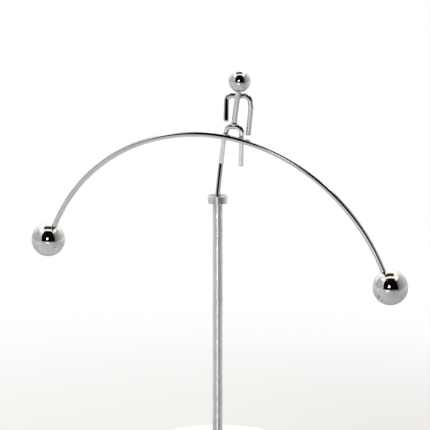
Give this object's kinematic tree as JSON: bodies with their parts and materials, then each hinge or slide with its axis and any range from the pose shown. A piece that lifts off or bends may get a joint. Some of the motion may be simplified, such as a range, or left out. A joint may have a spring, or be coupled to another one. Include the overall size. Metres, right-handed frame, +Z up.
{
  "type": "balancing toy",
  "caption": "Chrome wire man balancing on tiptoe in a cup on a post, steadied by a curved bow with ball weights, on a round weighted base; spins, rocks and nods.",
  "frame": {"origin": "middle of the underside of the base pad, which rests on the table", "axes": "+Z up along the post, +X along the bow towards the man's side, -Y towards the front of the man"},
  "size_m": [0.2331, 0.085, 0.231],
  "materials": {
    "chrome_cover": "polished",
    "chrome_wire": "polished",
    "chrome_ball": "polished",
    "chrome_post": "polished",
    "cast_iron": "matte",
    "foam": "matte",
    "zinc_steel": "satin",
    "hard_steel": "satin"
  },
  "bodies": {
    "stand": {"base_cover": "chrome_cover", "base_weight": "cast_iron", "base_pad": "foam", "base_screw": "zinc_steel", "spring_washer": "zinc_steel", "post": "chrome_post", "pivot_cup": "chrome_post"},
    "seat": {"pivot_seat": "hard_steel"},
    "foot": {"foot_ball": "chrome_wire"},
    "figure": {"legs_wire": "chrome_wire", "torso_rod": "chrome_wire", "arms_wire": "chrome_wire", "head_ball": "chrome_ball", "balance_bow": "chrome_wire", "left_weight": "chrome_ball", "right_weight": "chrome_ball", "hip_solder": "chrome_wire", "shoulder_solder": "chrome_wire", "left_leg_solder": "chrome_wire", "right_leg_solder": "chrome_wire"}
  },
  "joints": [
    {"name": "spin", "type": "hinge", "parent": "stand", "child": "seat", "pos_m": [0, 0, 0.15735], "axis": [0, 0, 1], "continuous": true},
    {"name": "nod", "type": "hinge", "parent": "seat", "child": "foot", "pos_m": [0, 0, 0.15735], "axis": [1, 0, 0], "range_deg": [-25, 25]},
    {"name": "rock", "type": "hinge", "parent": "foot", "child": "figure", "pos_m": [0, 0, 0.15735], "axis": [0, 0.9893, 0.1461], "range_deg": [-30, 30]}
  ]
}
